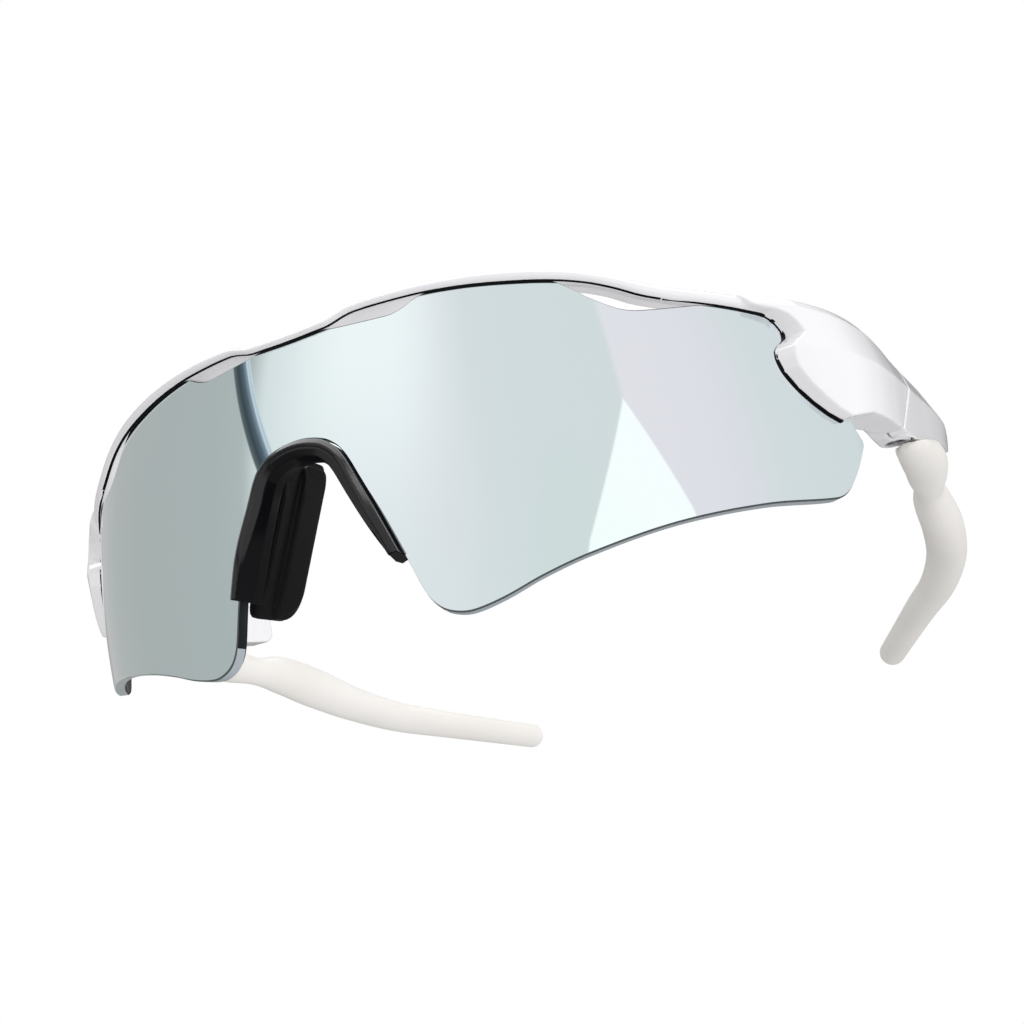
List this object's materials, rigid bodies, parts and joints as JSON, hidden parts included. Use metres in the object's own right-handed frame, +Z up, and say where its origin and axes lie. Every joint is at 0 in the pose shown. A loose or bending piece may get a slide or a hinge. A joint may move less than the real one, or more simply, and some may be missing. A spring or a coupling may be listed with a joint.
{
  "type": "wraparound sport sunglasses",
  "caption": "Wraparound sport sunglasses: white brow frame, silver mirror shield lens, black nosepiece and folding temples with cream rubber ear sleeves.",
  "frame": {"origin": "centre of the footprint, on the surface that the open glasses stand on (lens lobes and sleeve tips)", "axes": "+Z up, -Y out of the front of the lens, +X towards the wearer's left"},
  "size_m": [0.1516, 0.1628, 0.0479],
  "materials": {
    "gloss_white_frame": "glossy injection moulded white nylon",
    "gloss_white_temple": "glossy injection moulded white nylon",
    "mirror_shield": "silver mirror coat on a polycarbonate shield",
    "black_nosepiece": "glossy black plastic",
    "black_pad_rubber": "smooth black rubber",
    "black_lens_gasket": "matt black rubber strip",
    "cream_sleeve_rubber": "satin cream white rubber",
    "hinge_steel": "machined stainless steel",
    "hinge_brass": "turned brass",
    "washer_nylon": "natural nylon"
  },
  "bodies": {
    "front": {"front_frame": "gloss_white_frame", "shield_lens": "mirror_shield", "nose_bridge": "black_nosepiece", "brow_lens_gasket": "black_lens_gasket", "left_side_lens_gasket": "black_lens_gasket", "right_side_lens_gasket": "black_lens_gasket", "left_nose_pad": "black_pad_rubber", "right_nose_pad": "black_pad_rubber", "left_hinge_screw": "hinge_steel", "left_hinge_insert": "hinge_brass", "left_hinge_upper_washer": "washer_nylon", "left_hinge_lower_washer": "washer_nylon", "right_hinge_screw": "hinge_steel", "right_hinge_insert": "hinge_brass", "right_hinge_upper_washer": "washer_nylon", "right_hinge_lower_washer": "washer_nylon"},
    "left_temple": {"left_temple_arm": "gloss_white_temple", "left_ear_sleeve": "cream_sleeve_rubber"},
    "right_temple": {"right_temple_arm": "gloss_white_temple", "right_ear_sleeve": "cream_sleeve_rubber"}
  },
  "joints": [
    {"name": "left_temple_fold", "type": "hinge", "parent": "front", "child": "left_temple", "pos_m": [0.0703, -0.018, 0.0244], "axis": [0, 0, 1], "range_deg": [0, 90]},
    {"name": "right_temple_fold", "type": "hinge", "parent": "front", "child": "right_temple", "pos_m": [-0.0703, -0.018, 0.0244], "axis": [0, 0, -1], "range_deg": [0, 78]}
  ]
}
